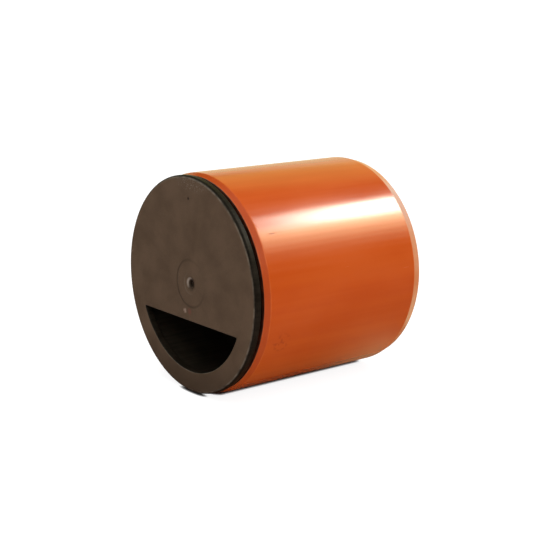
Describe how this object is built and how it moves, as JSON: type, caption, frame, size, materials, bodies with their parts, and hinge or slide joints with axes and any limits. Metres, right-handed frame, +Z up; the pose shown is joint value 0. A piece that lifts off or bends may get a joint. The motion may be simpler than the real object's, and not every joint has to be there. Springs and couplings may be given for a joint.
{
  "type": "drain trap",
  "caption": "Inline drain trap: a short orange-brown pipe stub closed by a dark moulded insert, whose plate has a low D-shaped inlet and whose trough and weir hold a water seal.",
  "frame": {"origin": "centre of the bounding box on the ground under the lying pipe", "axes": "+Z up, +Y along the pipe's axis from the inlet plate to the open end, +X to the right of the plate"},
  "size_m": [0.11, 0.1058, 0.11],
  "materials": {
    "sleeve": "smooth extruded orange-brown rigid plastic with a soft gloss",
    "insert": "dark brown moulded plastic with a fine matt texture"
  },
  "bodies": {
    "root": {"pipe_sleeve": "sleeve", "trap_insert": "insert"}
  },
  "joints": []
}
